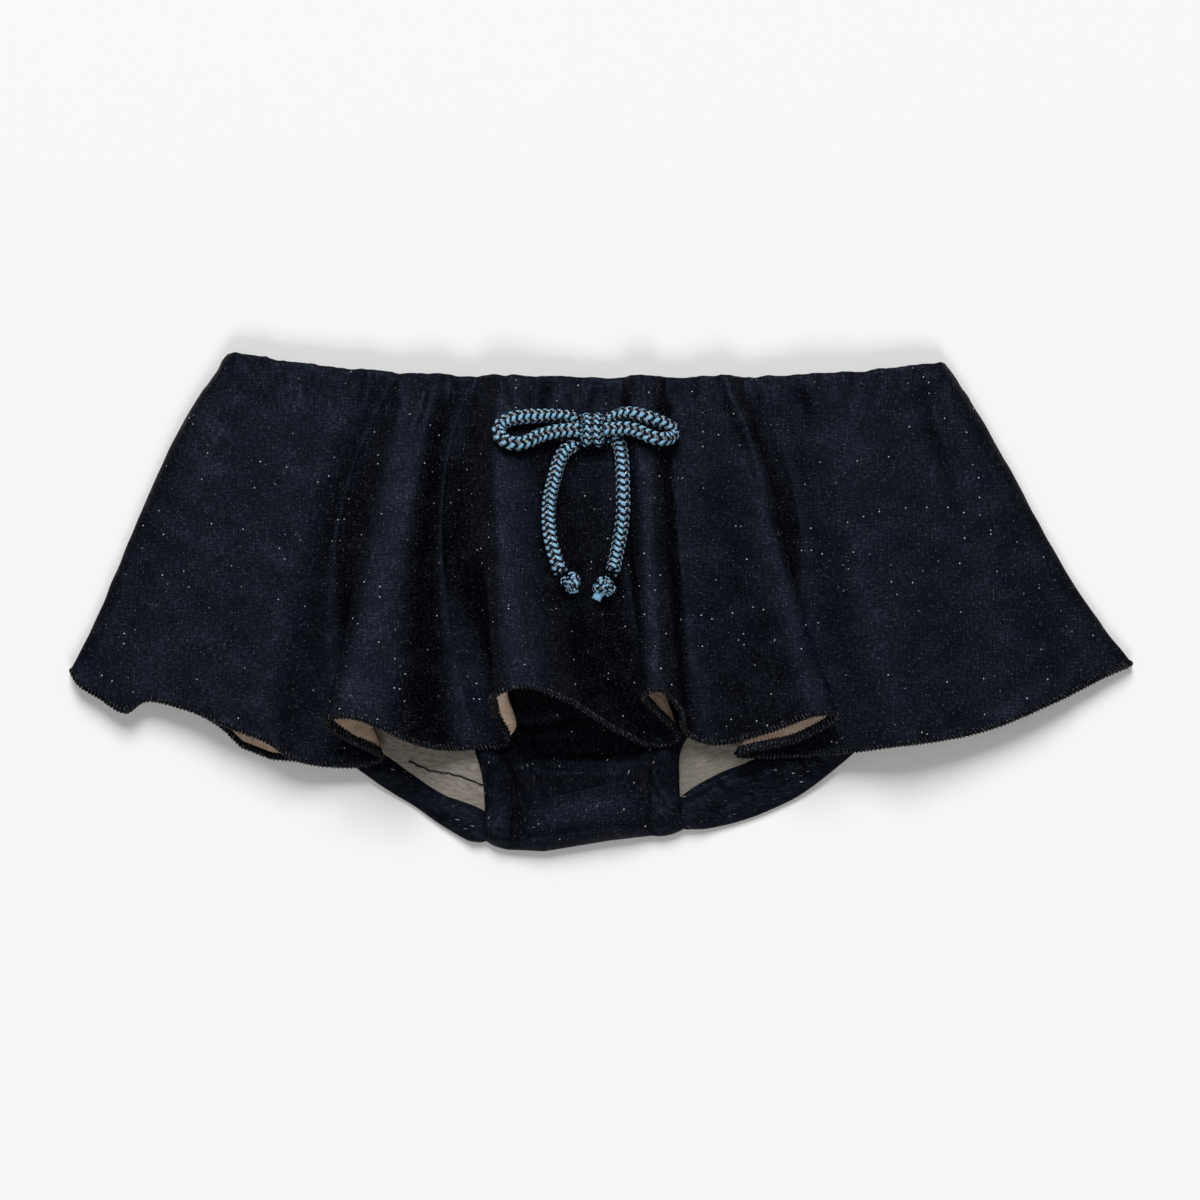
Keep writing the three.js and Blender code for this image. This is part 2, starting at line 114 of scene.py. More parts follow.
BACK_HEM = np.array([
    (-158.3, -20.6), (-147.0, -25.4), (-135.0, -28.4), (-121.0, -32.0), (-112.5, -37.6),
    (-107.0, -43.2), (-98.0, -46.8), (-86.0, -47.8), (-60.0, -47.6), (0.0, -47.8),
    (50.0, -46.2), (78.0, -43.6), (94.0, -42.4), (104.0, -40.0), (117.0, -37.0),
    (130.5, -31.2), (145.5, -23.8), (158.3, -18.3),
])
WAIST_MIDDLE_Y = 69.2
LEFT_TIP, RIGHT_TIP = (-113.0, 78.0, 3), (104.5, 75.0, 4)

FRONT_FACE = 2 * LAYER + CLOTH
BACK_FACE = LAYER
FOLD_FRONT = FRONT_FACE + 1.0
FOLD = (FOLD_FRONT + BACK_FACE) / 2

# The sides of the brief, from its waist seam down: y, left x, right x.
BRIEF_SIDES = [(56.6, -98.0, 90.4), (36.0, -95.5, 90.0), (14.0, -93.0, 88.5)]
WAIST_SAG = 7.0
# The leg bands: the x and y of the sewn edge, those of the free edge, and the height.
LEFT_BAND = np.array([
    (-91.5, -1.0, -92.0, -8.6, FRONT_FACE), (-75.0, -7.5, -78.5, -14.4, FRONT_FACE),
    (-57.0, -16.0, -61.5, -22.2, FRONT_FACE), (-41.5, -26.5, -47.5, -31.2, FRONT_FACE),
    (-31.5, -38.0, -39.0, -41.4, FRONT_FACE), (-27.4, -50.0, -35.2, -51.6, FRONT_FACE),
    (-26.2, -62.6, -34.0, -62.0, FRONT_FACE), (-26.6, -72.2, -34.3, -70.0, FOLD_FRONT),
    (-27.0, -74.4, -34.4, -71.8, FOLD), (-27.2, -72.2, -35.0, -70.2, BACK_FACE),
    (-34.3, -63.4, -39.4, -69.0, BACK_FACE), (-46.2, -58.3, -47.0, -65.4, BACK_FACE),
    (-54.0, -53.4, -55.4, -60.0, BACK_FACE), (-64.0, -46.6, -67.4, -53.0, BACK_FACE),
    (-76.0, -38.0, -80.6, -43.6, BACK_FACE), (-86.0, -24.0, -92.4, -27.4, BACK_FACE),
    (-91.5, -6.0, -98.5, -9.0, BACK_FACE),
])
RIGHT_BAND = np.array([
    (87.0, -1.0, 87.6, -8.6, FRONT_FACE), (69.5, -7.0, 73.0, -13.8, FRONT_FACE),
    (50.0, -14.5, 54.0, -21.0, FRONT_FACE), (33.0, -24.0, 39.0, -29.0, FRONT_FACE),
    (21.0, -34.0, 28.5, -37.4, FRONT_FACE), (15.4, -44.0, 23.4, -45.2, FRONT_FACE),
    (14.5, -53.8, 22.8, -54.2, FRONT_FACE), (14.9, -68.6, 23.8, -66.6, FOLD_FRONT),
    (15.2, -70.8, 24.6, -68.6, FOLD), (15.5, -68.6, 25.2, -67.0, BACK_FACE),
    (23.6, -58.6, 31.2, -66.0, BACK_FACE), (34.0, -52.2, 40.6, -64.0, BACK_FACE),
    (46.0, -47.6, 53.0, -59.4, BACK_FACE), (58.0, -42.6, 65.6, -52.2, BACK_FACE),
    (70.0, -35.0, 78.0, -42.2, BACK_FACE), (80.5, -22.0, 88.0, -26.6, BACK_FACE),
    (86.5, -6.0, 93.6, -9.0, BACK_FACE),
])
FRONT_SEAM, FOLD_ROW, BACK_SEAM = 6, 8, 10
PUFF = 3.2
BAND_LIFT = 1.8  # the back half of a band rises to meet the front half by the fold
# How far the soft edge of the crotch rolls out past the cut, at the fold and behind it: x, depths.
ROLL_OUT = np.array([
    (-74.0, 0.0, 0.0), (-57.0, 0.0, 1.0), (-46.0, 0.2, 1.8), (-39.0, 0.4, 2.4), (-33.0, 0.4, 2.4),
    (-27.0, 0.7, 1.0), (-16.8, 2.1, 0.0), (2.4, 0.5, 0.0), (15.0, 0.0, 0.8), (25.0, 0.1, 1.7),
    (33.0, 0.5, 2.0), (45.0, 0.0, 1.9), (58.0, 0.0, 1.4), (68.0, 0.0, 0.6), (76.0, 0.0, 0.0),
])
PUFF_FROM, PUFF_TO = -44.0, -53.5

# The routes of the bow's cords, from its knot outwards.
LOOP_LEFT = [
    (-6.9, 54.5, 11.3), (-10.5, 55.6, 11.9), (-15.3, 55.7, 13.0), (-20.1, 55.0, 14.8),
    (-24.6, 54.3, 16.1), (-28.1, 53.1, 16.7), (-30.2, 51.1, 17.2), (-30.5, 48.7, 17.8),
    (-28.6, 46.3, 18.4), (-25.4, 45.4, 18.3), (-22.2, 46.3, 17.4), (-18.5, 48.6, 15.8),
    (-13.2, 50.3, 15.0), (-6.9, 50.8, 14.9),
]
LOOP_RIGHT = [
    (1.4, 54.4, 10.9), (3.8, 55.6, 11.5), (7.2, 56.3, 13.3), (10.9, 55.5, 14.9),
    (14.7, 54.3, 15.1), (19.0, 53.0, 13.3), (21.6, 51.8, 11.2), (20.7, 49.2, 12.2),
    (17.4, 47.7, 15.7), (13.9, 48.6, 16.3), (10.7, 50.2, 16.1), (7.5, 51.0, 15.7),
    (4.4, 51.0, 15.0), (1.4, 50.9, 14.7),
]
TAIL_LEFT = [
    (-7.6, 47.4, 11.8), (-10.8, 44.7, 13.0), (-12.8, 40.1, 14.6), (-13.9, 35.2, 16.3),
    (-15.0, 30.2, 18.1), (-15.6, 24.1, 20.1), (-15.4, 18.1, 21.8), (-14.5, 12.4, 22.9),
    (-12.9, 6.9, 23.3), (-11.9, 4.3, 23.2),
]
TAIL_RIGHT = [
    (3.4, 49.6, 10.1), (5.2, 48.0, 10.8), (6.2, 43.0, 12.5), (6.5, 37.2, 13.5),
    (6.6, 31.5, 13.7), (6.6, 26.3, 12.8), (6.1, 21.1, 11.2), (5.1, 15.7, 10.8), (4.0, 9.8, 12.0),
    (3.5, 6.9, 13.2),
]
BOW_KNOT_AT, BOW_KNOT_HALF = (-2.6, 51.5, 12.4), (3.4, 5.3, 4.0)
LEFT_KNOT_AT, LEFT_KNOT_HALF = (-8.9, 1.4, 22.3), (3.3, 3.2, 3.0)
RIGHT_KNOT_AT, RIGHT_KNOT_HALF = (1.0, 2.1, 14.9), (3.8, 3.2, 3.0)


# Small helpers
def mix(a, b, t):
    return a + (b - a) * t


def ease(start, end, value):
    t = np.clip((value - start) / (end - start), 0, 1)
    return t * t * (3 - 2 * t)


def unit(vectors):
    return vectors / np.maximum(np.linalg.norm(vectors, axis=-1, keepdims=True), 1e-9)


def metres(points):
    """Millimetres with the tables' y, as metres in the frame."""
    return (np.asarray(points, float) - (0, CENTRE_Y, 0)) / 1000


def spline(points, at):
    """Centripetal Catmull-Rom through points (..., K, 3) at positions 0 to K - 1."""
    points = np.asarray(points, float)
    at = np.asarray(at, float)
    before = 2 * points[..., :1, :] - points[..., 1:2, :]
    after = 2 * points[..., -1:, :] - points[..., -2:-1, :]
    points = np.concatenate([before, points, after], axis=-2)
    index = np.clip(np.floor(at).astype(int), 0, points.shape[-2] - 4)
    t = (at - index)[:, None]
    p0, p1, p2, p3 = (points[..., index + k, :] for k in range(4))
    a, b, c = (
        np.sqrt(np.linalg.norm(q - p, axis=-1, keepdims=True))
        for p, q in ((p0, p1), (p1, p2), (p2, p3))
    )
    b = np.where(b < 1e-4, 1.0, b)
    a = np.where(a < 1e-4, b, a)
    c = np.where(c < 1e-4, b, c)
    out = ((p1 - p0) / a - (p2 - p0) / (a + b) + (p2 - p1) / b) * b
    into = ((p2 - p1) / b - (p3 - p1) / (b + c) + (p3 - p2) / c) * b
    cube = 2 * p1 - 2 * p2 + out + into
    square = -3 * p1 + 3 * p2 - 2 * out - into
    return p1 + t * (out + t * (square + t * cube))


def even(points, step):
    """A polyline resampled to equal steps of about that length."""
    lengths = np.concatenate([[0], np.cumsum(np.linalg.norm(np.diff(points, axis=0), axis=1))])
    at = np.linspace(0, lengths[-1], max(2, round(lengths[-1] / step) + 1))
    return np.stack([np.interp(at, lengths, points[:, k]) for k in range(3)], axis=1)


def route(points, step=0.4):
    """A cord's smooth centre line in even steps."""
    return even(spline(points, np.linspace(0, len(points) - 1, 40 * len(points))), step)


def grid_normals(grid):
    return unit(np.cross(np.gradient(grid, axis=0), np.gradient(grid, axis=1)))


def lumps(x, y, sizes, seed):
    """Smooth uneven noise of about -1 to 1 whose lumps are about as large as sizes say."""
    draw = np.random.default_rng(seed)
    total = np.zeros(np.broadcast(x, y).shape)
    for size in sizes:
        for _ in range(5):
            angle, phase = draw.uniform(0, math.pi), draw.uniform(0, 2 * math.pi)
            wave = size * draw.uniform(0.7, 1.4)
            along = x * math.cos(angle) + y * math.sin(angle)
            total += np.sin(2 * math.pi * along / wave + phase)
    return total / (2.5 * len(sizes))


def creases(x, y, table):
    """Heights of soft ridges (+) and troughs (-): each has its width, its height and its points."""
    height = np.zeros(x.shape)
    for width, rise, *points in table:
        points = np.array(points, float)
        nearest, along = np.full(x.shape, 1e9), np.zeros(x.shape)
        spans = np.linalg.norm(np.diff(points, axis=0), axis=1)
        done = 0.0
        for (ax, ay), (bx, by), span in zip(points[:-1], points[1:], spans):
            raw = ((x - ax) * (bx - ax) + (y - ay) * (by - ay)) / span**2
            t = np.clip(raw, 0, 1)
            away = np.hypot(x - mix(ax, bx, t), y - mix(ay, by, t))
            closer = away < nearest
            nearest = np.where(closer, away, nearest)
            along = np.where(closer, done + t * span, along)
            done += span
        fade = ease(0, 0.3 * done, along) * ease(done, 0.6 * done, along)
        height += rise * (0.25 + 0.75 * fade) * np.exp(-((nearest / width) ** 2))
    return height


# Camera
TILT = math.radians(15)
EYE = 1.5
AIM = (-0.0003, 0.00025, 0.0)
camera_data = bpy.data.cameras.new("camera")
camera_data.lens, camera_data.sensor_width = 150, 36
camera = bpy.data.objects.new("camera", camera_data)
camera.location = (AIM[0], AIM[1] - EYE * math.sin(TILT), EYE * math.cos(TILT))
camera.rotation_euler = (TILT, 0, 0)
bpy.context.collection.objects.link(camera)
bpy.context.scene.camera = camera


def build(name, points, faces, materials, which=None, uv=None):
    """A mesh object from points in table millimetres, quads or triangles, and UVs per point."""
    mesh = bpy.data.meshes.new(name)
    mesh.from_pydata(metres(points).tolist(), [], [list(f) for f in faces])
    for material in materials:
        mesh.materials.append(material)
    if which is not None:
        mesh.polygons.foreach_set("material_index", np.asarray(which, np.int32))
    if uv is not None:
        corners = np.zeros(len(mesh.loops), np.int32)
        mesh.loops.foreach_get("vertex_index", corners)
        layer = mesh.uv_layers.new(name="knit")
        layer.data.foreach_set("uv", np.asarray(uv, np.float32)[corners].ravel())
    mesh.polygons.foreach_set("use_smooth", np.ones(len(mesh.polygons), bool))
    mesh.update()
    piece = bpy.data.objects.new(name, mesh)
    bpy.context.collection.objects.link(piece)
    return piece


# Materials
NAVY_DARK = (0.0005, 0.0005, 0.0006, 1.0)
NAVY_LIGHT = (0.0085, 0.0095, 0.0145, 1.0)


class Nodes:
    """A material's node tree, with short calls for what the materials below repeat."""

    def __init__(self, name):
        self.material = bpy.data.materials.new(name)
        self.material.use_nodes = True
        self.tree = self.material.node_tree
        self.shader = self.tree.nodes["Principled BSDF"]

    def add(self, kind, inputs=None, **settings):
        made = self.tree.nodes.new("ShaderNode" + kind)
        for key, value in settings.items():
            setattr(made, key, value)
        for key, value in (inputs or {}).items():
            self.put(made.inputs[key], value)
        return made

    def put(self, socket, value):
        if isinstance(value, bpy.types.NodeSocket):
            self.tree.links.new(value, socket)
        else:
            socket.default_value = value

    def math(self, operation, *values):
        made = self.add("Math", operation=operation)
        for socket, value in zip(made.inputs, values):
            self.put(socket, value)
        return made.outputs[0]

    def uv(self, across, down):
        """The UVs in millimetres, divided by a size each way."""
        source = self.add("UVMap", uv_map="knit").outputs[0]
        scaled = self.add("VectorMath", {0: source, 1: (1 / across, 1 / down, 1)}, operation="MULTIPLY")
        return scaled.outputs[0]

    def noise(self, vector, detail=2.0, rough=0.5):
        inputs = {"Vector": vector, "Scale": 1.0, "Detail": detail, "Roughness": rough}
        return self.add("TexNoise", inputs).outputs["Fac"]

    def ramp(self, value, low, high, out_low=0.0, out_high=1.0):
        inputs = {"Value": value, 1: low, 2: high, 3: out_low, 4: out_high}
        return self.add("MapRange", inputs, interpolation_type="SMOOTHSTEP").outputs[0]

    def blend(self, share, low, high):
        made = self.add("Mix", data_type="RGBA")
        self.put(made.inputs["Factor"], share)
        self.put(made.inputs[6], low)
        self.put(made.inputs[7], high)
        return made.outputs[2]

    def specks(self, vector, share, radius, soft=0.5):
        """Round specks in a share of the cells of a pattern, and a random number for each."""
        inputs = {"Vector": vector, "Scale": 1.0, "Randomness": 0.9}
        cells = self.add("TexVoronoi", inputs, voronoi_dimensions="2D")
        colour = self.add("SeparateColor", {"Color": cells.outputs["Color"]})
        chosen = self.math("LESS_THAN", colour.outputs[0], share)
        near = self.ramp(cells.outputs["Distance"], radius, radius * soft)
        return self.math("MULTIPLY", chosen, near), colour.outputs[1]

    def bump(self, height, strength, distance, under=None):
        inputs = {"Height": height, "Strength": strength, "Distance": distance}
        if under is not None:
            inputs["Normal"] = under
        return self.add("Bump", inputs).outputs[0]


def rgba(red, green, blue):
    return (red, green, blue, 1.0)


def knit_face():
    """The navy outside: a fine plain knit with heathered dashes, and tinsel specks whose glints are
    painted in as light colour.
    """
    made = Nodes("navy_knit")
    heather = made.noise(made.uv(1.5, 0.6), 3.0, 0.7)
    patches = made.noise(made.uv(14.0, 9.0), 2.0, 0.5)
    wales = made.noise(made.uv(0.45, 3.4), 2.0, 0.6)
    share = made.math("ADD", made.math("MULTIPLY", heather, 0.5), made.math("MULTIPLY", patches, 0.2))
    share = made.math("ADD", share, made.math("MULTIPLY", wales, 0.3))
    share = made.ramp(share, 0.46, 0.62)
    colour = made.blend(share, NAVY_DARK, NAVY_LIGHT)
    dashes, _ = made.specks(made.uv(1.3, 0.7), 0.2, 0.4, 0.3)
    colour = made.blend(made.math("MULTIPLY", dashes, 0.5), colour, rgba(0.022, 0.024, 0.028))
    # Fine tinsel specks, light grey: the tinsel's colour with its glints painted in, stronger on some
    # specks than others.
    fine, fine_glint_strength = made.specks(made.uv(1.0, 1.0), 0.09, 0.24, 0.3)
    fine = made.math("MULTIPLY", fine, fine_glint_strength)
    colour = made.blend(fine, colour, rgba(0.085, 0.085, 0.09))
    # Sparse tinsel specks, painted near-white: the tinsel's own light colour with its glints painted in.
    bright_glints, glint_strength = made.specks(made.uv(1.6, 1.6), 0.028, 0.16, 0.3)
    bright_glints = made.math("MULTIPLY", bright_glints, made.ramp(glint_strength, 0.0, 1.0, 0.12, 0.75))
    colour = made.blend(bright_glints, colour, rgba(0.85, 0.84, 0.81))
    made.put(made.shader.inputs["Base Color"], colour)
    made.put(made.shader.inputs["Roughness"], made.ramp(share, 0.0, 1.0, 0.52, 0.28))
    made.shader.inputs["Specular IOR Level"].default_value = 0.088
    made.shader.inputs["Specular Tint"].default_value = rgba(0.42, 0.56, 1.0)
    # Stitches: each wale is a column of Vs, 0.9 mm wide and 0.75 mm high.
    place = made.add("SeparateXYZ", {0: made.uv(0.9, 0.75)})
    zigzag = made.math("PINGPONG", place.outputs[0], 0.5)
    row = made.math("ADD", place.outputs[1], zigzag)
    legs = made.math("ABSOLUTE", made.math("SINE", made.math("MULTIPLY", row, math.pi)))
    wale = made.math("ABSOLUTE", made.math("SINE", made.math("MULTIPLY", place.outputs[0], math.pi)))
    stitch = made.math("ADD", made.math("MULTIPLY", legs, 0.5), made.math("MULTIPLY", wale, 0.5))
    stitches = made.bump(stitch, 0.25, 0.00008)
    fuzz = made.noise(made.uv(0.9, 0.5), 3.0, 0.7)
    fuzzy = made.bump(fuzz, 0.32, 0.00025, stitches)
    made.put(made.shader.inputs["Normal"], made.bump(share, 0.2, 0.0001, fuzzy))
    return made.material


def fleece(name, low, high):
    """The inside: brushed beige."""
    made = Nodes(name)
    broad = made.noise(made.uv(3.2, 2.2), 3.0, 0.6)
    fine = made.noise(made.uv(0.5, 0.3), 3.0, 0.7)
    share = made.math("ADD", made.math("MULTIPLY", broad, 0.5), made.math("MULTIPLY", fine, 0.5))
    colour = made.blend(made.ramp(share, 0.35, 0.65), low, high)
    flecks, _ = made.specks(made.uv(1.6, 1.1), 0.1, 0.28)
    colour = made.blend(made.math("MULTIPLY", flecks, 0.35), colour, rgba(0.12, 0.1, 0.1))
    made.put(made.shader.inputs["Base Color"], colour)
    made.shader.inputs["Roughness"].default_value = 0.95
    made.shader.inputs["Specular IOR Level"].default_value = 0.15
    made.shader.inputs["Sheen Weight"].default_value = 0.15
    made.shader.inputs["Sheen Roughness"].default_value = 0.6
    pile = made.bump(fine, 0.8, 0.00025)
    made.put(made.shader.inputs["Normal"], made.bump(broad, 0.6, 0.0005, pile))
    return made.material


def yarn(name, dark, light, gloss, metallic=0.0, twist=0.6, light_from=0.4):
    """Thread or braid yarn: streaks of two shades along it, fewer light ones if light_from is high. On the
    tinsel and the overlock thread the light streaks are partly painted glints.
    """
    made = Nodes(name)
    streaks = made.noise(made.uv(twist, 0.25), 2.0, 0.6)
    share = made.ramp(streaks, light_from, light_from + 0.15)
    made.put(made.shader.inputs["Base Color"], made.blend(share, dark, light))
    made.shader.inputs["Roughness"].default_value = 0.5
    made.shader.inputs["Specular IOR Level"].default_value = gloss
    made.shader.inputs["Metallic"].default_value = metallic
    made.put(made.shader.inputs["Normal"], made.bump(streaks, 0.5, 0.0001))
    return made.material


NAVY = knit_face()
BEIGE = fleece("beige_brushed", rgba(0.38, 0.255, 0.175), rgba(0.57, 0.44, 0.34))
# The brief's inside: a darker, greyer beige, its darkness partly the shade inside the leg openings,
# painted in.
BRIEF_BEIGE_PAINTED_SHADE = fleece("beige_brief_painted_shade", rgba(0.14, 0.125, 0.105), rgba(0.3, 0.27, 0.23))
# The overlock thread: navy, with sparse light streaks, the silver in it with its glints painted in.
THREAD_AND_GLINTS = yarn("overlock_thread_and_glints", rgba(0.003, 0.0035, 0.005), rgba(0.16, 0.16, 0.165), 0.08, 0.0, 0.9, 0.54)
BLUE = yarn("light_blue_yarn", rgba(0.13, 0.34, 0.52), rgba(0.28, 0.54, 0.74), 0.2)
DARK = yarn("navy_yarn", rgba(0.002, 0.003, 0.006), rgba(0.006, 0.009, 0.016), 0.08)
# The tinsel strands: dark, with light silver streaks that are partly the tinsel's colour and partly its
# glints, painted in.
TINSEL_AND_GLINTS = yarn("silver_tinsel_and_glints", rgba(0.008, 0.012, 0.02), rgba(0.62, 0.7, 0.78), 0.3, 0.2, 0.9, 0.47)
CORE = yarn("cord_core", rgba(0.003, 0.004, 0.007), rgba(0.01, 0.014, 0.02), 0.05)


# Tubes and braids
def frames(line, closed=False):
    """Along a line: its direction and two vectors square to it that do not twist."""
    tangent = unit(np.gradient(line, axis=0))
    if closed:
        tangent = unit(np.roll(line, -1, axis=0) - np.roll(line, 1, axis=0))
    side = np.zeros_like(line)
    first = np.cross(tangent[0], (0, 0, 1.0))
    if np.linalg.norm(first) < 0.1:
        first = np.cross(tangent[0], (1.0, 0, 0))
    side[0] = unit(first)
    for i in range(1, len(line)):
        side[i] = unit(side[i - 1] - tangent[i] * np.dot(side[i - 1], tangent[i]))
    up = np.cross(side, tangent)
    return tangent, side, up


def tube_grid(lines, sides, ups, radii, corners, closed=False):
    """Points, quads and UVs of tubes along lines (N, K, 3); radii are (across, along up)."""
    count, steps = lines.shape[:2]
    turn = np.arange(corners) * 2 * math.pi / corners
    across = np.broadcast_to(radii[0], (count, steps))[:, :, None, None]
    ring = (
        sides[:, :, None] * (np.cos(turn)[:, None] * across)
        + ups[:, :, None] * (np.sin(turn)[:, None] * radii[1])
    )
    points = (lines[:, :, None] + ring).reshape(-1, 3)
    lengths = np.cumsum(np.linalg.norm(np.diff(lines, axis=1, prepend=lines[:, :1]), axis=2), axis=1)
    u = np.repeat(lengths[:, :, None], corners, axis=2) + np.arange(count)[:, None, None] * 3.7
    v = np.broadcast_to(turn * np.mean(radii[0]), u.shape)
    uv = np.stack([u, v], axis=-1).reshape(-1, 2)
    index = np.arange(count * steps * corners).reshape(count, steps, corners)
    if closed:
        ahead = np.roll(index, -1, axis=1)
        here = index
    else:
        here, ahead = index[:, :-1], index[:, 1:]
    quads = np.stack(
        [here, np.roll(here, -1, axis=2), np.roll(ahead, -1, axis=2), ahead], axis=-1
    ).reshape(-1, 4)
    faces = quads.tolist()
    if not closed:
        for n in range(count):
            faces.append(index[n, 0, ::-1].tolist())
            faces.append(index[n, -1].tolist())
    return points, faces, uv


STRANDS = 16
KINDS = [1, 2] * 4 + [3, 2] * 4
PITCH = 8.4  # how far along the cord one strand goes round once
TWIST = 0.35  # how far round the cord its row of blue is turned
STRAND_WIDTHS = {1: 0.165, 2: 0.115, 3: 0.13}  # half widths of the kinds, in cord diameters
STRAND_THICKNESS, CORE_RADIUS = 0.1, 0.36  # in cord diameters
STRAND_CORNERS, CORE_CORNERS = 6, 10
WRAP_PITCH, KNOT_PITCH = 6.5, 5.5
KNOT_CORD = 2.9  # the cord's thickness where it is pulled tight in a tail's knot


def braid(name, line, diameter, closed=False, pitch=PITCH, kinds=KINDS):
    """A round braid along a centre line: a core, and strands that pass over and under."""
    tangent, side, up = frames(line, closed)
    run = np.concatenate([[0], np.cumsum(np.linalg.norm(np.diff(line, axis=0), axis=1))])
    if closed:
        pitch = run[-1] / max(1, round(run[-1] / pitch))
    thick = STRAND_THICKNESS * diameter
    half = STRANDS // 2
    lines, sides, ups, wide = [], [], [], []
    for strand in range(STRANDS):
        hand = 1 if strand < half else -1
        angle = hand * 2 * math.pi * run / pitch + 2 * math.pi * (strand % half) / half
        weave = hand * np.cos(half / 2 * angle + math.pi / 4)
        angle = angle + TWIST
        radius = diameter / 2 - thick * 1.5 + 0.5 * thick * weave
        out = side * np.cos(angle)[:, None] + up * np.sin(angle)[:, None]
        centre = line + out * radius[:, None]
        if closed:
            ahead = unit(np.roll(centre, -1, axis=0) - np.roll(centre, 1, axis=0))
        else:
            ahead = unit(np.gradient(centre, axis=0))
        wide.append(STRAND_WIDTHS[kinds[strand]] * diameter * (0.75 + 0.25 * weave))
        lines.append(centre)
        ups.append(out)
        sides.append(np.cross(ahead, out))
    radii = (np.array(wide), thick)
    points, faces, uv = tube_grid(
        np.array(lines), np.array(sides), np.array(ups), radii, STRAND_CORNERS, closed
    )
    per = len(faces) // STRANDS if closed else (len(faces) - 2 * STRANDS) // STRANDS
    which = np.repeat(kinds, per).tolist()
    if not closed:
        which += np.repeat(kinds, 2).tolist()
    core = (diameter * CORE_RADIUS, diameter * CORE_RADIUS)
    core_points, core_faces, core_uv = tube_grid(
        line[None], side[None], up[None], core, CORE_CORNERS, closed
    )
    start = len(points)
    faces += [[i + start for i in f] for f in core_faces]
    which += [0] * len(core_faces)
    points = np.concatenate([points, core_points])
    uv = np.concatenate([uv, core_uv])
    return build(name, points, faces, [CORE, BLUE, DARK, TINSEL_AND_GLINTS], which, uv)


def place_piece(piece, nodes):
    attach(piece, "root")
    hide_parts(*nodes)
    return piece


def declare_cord(name, points, node):
    line = route(points)
    piece = place_piece(braid(name, line, CORD), [node])


declare_cord("cord_loop_left", LOOP_LEFT, "bow_loop_left")
declare_cord("cord_loop_right", LOOP_RIGHT, "bow_loop_right")
declare_cord("cord_tail_left", TAIL_LEFT, "bow_tail_left")
declare_cord("cord_tail_right", TAIL_RIGHT, "bow_tail_right")


def join(name, pieces):
    """One object from several."""
    for piece in bpy.context.selected_objects:
        piece.select_set(False)
    for piece in pieces:
        piece.select_set(True)
    bpy.context.view_layer.objects.active = pieces[0]
    bpy.ops.object.join()
    pieces[0].name = name
    return pieces[0]


def knot_wraps():
    """The cord goes round the middle of the bow twice."""
    turn = np.linspace(0, 2 * math.pi, 60, endpoint=False)
    wraps = []
    width = 1.03 * BOW_KNOT_HALF[0]
    for side, lean in ((-1, 0.5), (1, -0.4)):
        x = BOW_KNOT_AT[0] + side * width / 2 + lean * np.cos(turn)
        y = BOW_KNOT_AT[1] + (BOW_KNOT_HALF[1] - width / 2) * np.sin(turn)
        z = BOW_KNOT_AT[2] + (BOW_KNOT_HALF[2] - width / 2) * np.cos(turn)
        wraps.append(braid("wrap", np.stack([x, y, z], axis=1), width, True, WRAP_PITCH))
    return join("cord_bow_knot", wraps)


def overhand(name, at, half, thick, tip, spin):
    """A small pulled-tight knot with the cord's cut tip standing out of it."""
    t = np.linspace(0, 2 * math.pi, 90, endpoint=False)
    x, y, z = np.sin(t) + 2 * np.sin(2 * t), np.cos(t) - 2 * np.cos(2 * t), -np.sin(3 * t)
    x, y = x * math.cos(spin) - y * math.sin(spin), x * math.sin(spin) + y * math.cos(spin)
    loop = np.stack([x, y, z], axis=1)
    room = np.array(half) - thick / 2
    loop *= room / np.abs(loop).max(axis=0)
    knot = braid("knot", np.array(at) + loop, thick, True, KNOT_PITCH)
    tip_line = even(np.array(tip, float), 0.4)
    return join(name, [knot, braid("tip", tip_line, thick, False, KNOT_PITCH, [1] * STRANDS)])


place_piece(knot_wraps(), ["bow_knot"])
LEFT_TIP_PATH = [(-9.4, 1.6, 21.8), (-8.2, -0.2, 21.8), (-8.0, -1.4, 21.4)]
RIGHT_TIP_PATH = [(0.6, 1.7, 15.1), (-0.8, -0.5, 14.9), (-1.4, -1.7, 14.5)]
left_knot = overhand("cord_knot_left", LEFT_KNOT_AT, LEFT_KNOT_HALF, KNOT_CORD, LEFT_TIP_PATH, 0.3)
place_piece(left_knot, ["tail_knot_left"])
right_knot = overhand(
    "cord_knot_right", RIGHT_KNOT_AT, RIGHT_KNOT_HALF, KNOT_CORD, RIGHT_TIP_PATH, 0.9
)
place_piece(right_knot, ["tail_knot_right"])


# Cloth
RIM_STEPS = 4
INSIDE_UV_SHIFT = (37.0, 11.0)  # so that the pattern inside is not the one outside
OUTER, INNER, RIM = 0, 1, 2


